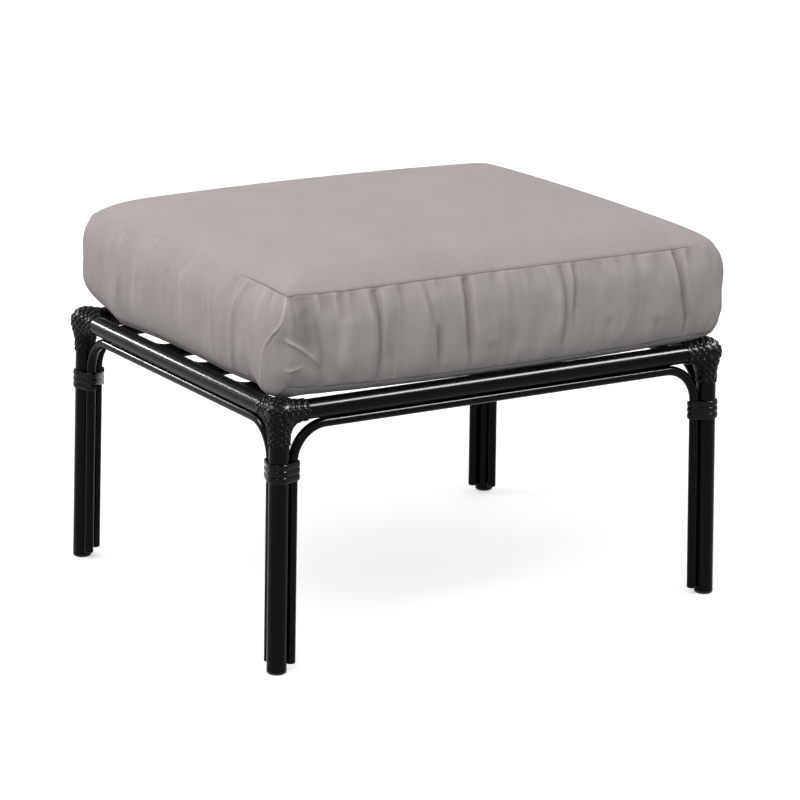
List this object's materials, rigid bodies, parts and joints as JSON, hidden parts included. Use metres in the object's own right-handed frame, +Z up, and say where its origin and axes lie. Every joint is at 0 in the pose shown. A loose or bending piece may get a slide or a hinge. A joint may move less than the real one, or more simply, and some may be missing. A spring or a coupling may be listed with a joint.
{
  "type": "outdoor ottoman footstool",
  "caption": "Square-set outdoor ottoman: bent and straight round tube frame with woven corner wraps, cane bindings, flat slats and a loose zipped box cushion.",
  "frame": {"origin": "on the floor under the middle of the frame", "axes": "+X along the long rails, +Y to the back where the zip is, +Z up"},
  "size_m": [0.6812, 0.5694, 0.5075],
  "materials": {
    "frame_paint": "gloss",
    "black_cane": "satin",
    "black_plastic": "matte",
    "cover_fabric": "matte",
    "foam": "matte",
    "fibre": "matte",
    "zip_tape": "matte",
    "zip_metal": "satin"
  },
  "bodies": {
    "frame": {"front_rail": "frame_paint", "back_rail": "frame_paint", "left_rail": "frame_paint", "right_rail": "frame_paint", "post_front_left": "frame_paint", "post_front_right": "frame_paint", "post_back_left": "frame_paint", "post_back_right": "frame_paint", "front_hoop": "frame_paint", "back_hoop": "frame_paint", "left_hoop": "frame_paint", "right_hoop": "frame_paint", "foot_glide_front_left": "black_plastic", "foot_glide_front_right": "black_plastic", "foot_glide_back_left": "black_plastic", "foot_glide_back_right": "black_plastic", "plug_front_hoop_left": "black_plastic", "plug_front_hoop_right": "black_plastic", "plug_back_hoop_left": "black_plastic", "plug_back_hoop_right": "black_plastic", "plug_left_hoop_front": "black_plastic", "plug_left_hoop_back": "black_plastic", "plug_right_hoop_front": "black_plastic", "plug_right_hoop_back": "black_plastic", "corner_wrap_front_left": "black_cane", "corner_wrap_front_right": "black_cane", "corner_wrap_back_left": "black_cane", "corner_wrap_back_right": "black_cane", "leg_binding_front_left": "black_cane", "leg_binding_front_right": "black_cane", "leg_binding_back_left": "black_cane", "leg_binding_back_right": "black_cane", "seat_slat_1": "frame_paint", "seat_slat_2": "frame_paint", "seat_slat_3": "frame_paint", "seat_slat_4": "frame_paint"},
    "cushion": {"cushion_cover": "cover_fabric", "foam_core": "foam", "fibre_pad_top": "fibre", "fibre_pad_bottom": "fibre", "zip_tape_upper": "zip_tape", "zip_tape_lower": "zip_tape"},
    "zip_slider": {"zip_slider": "zip_metal"},
    "zip_pull": {"zip_pull": "zip_metal"}
  },
  "joints": [
    {"name": "cushion_lift", "type": "slide", "parent": "frame", "child": "cushion", "axis": [0, 0, 1], "range_m": [0, 0.3]},
    {"name": "zip_slide", "type": "slide", "parent": "cushion", "child": "zip_slider", "axis": [-1, 0, 0], "range_m": [0, 0.467]},
    {"name": "zip_pull_swing", "type": "hinge", "parent": "zip_slider", "child": "zip_pull", "pos_m": [0.2395, 0.2817, 0.4163], "axis": [0, 0, -1], "range_deg": [0, 180]}
  ]
}
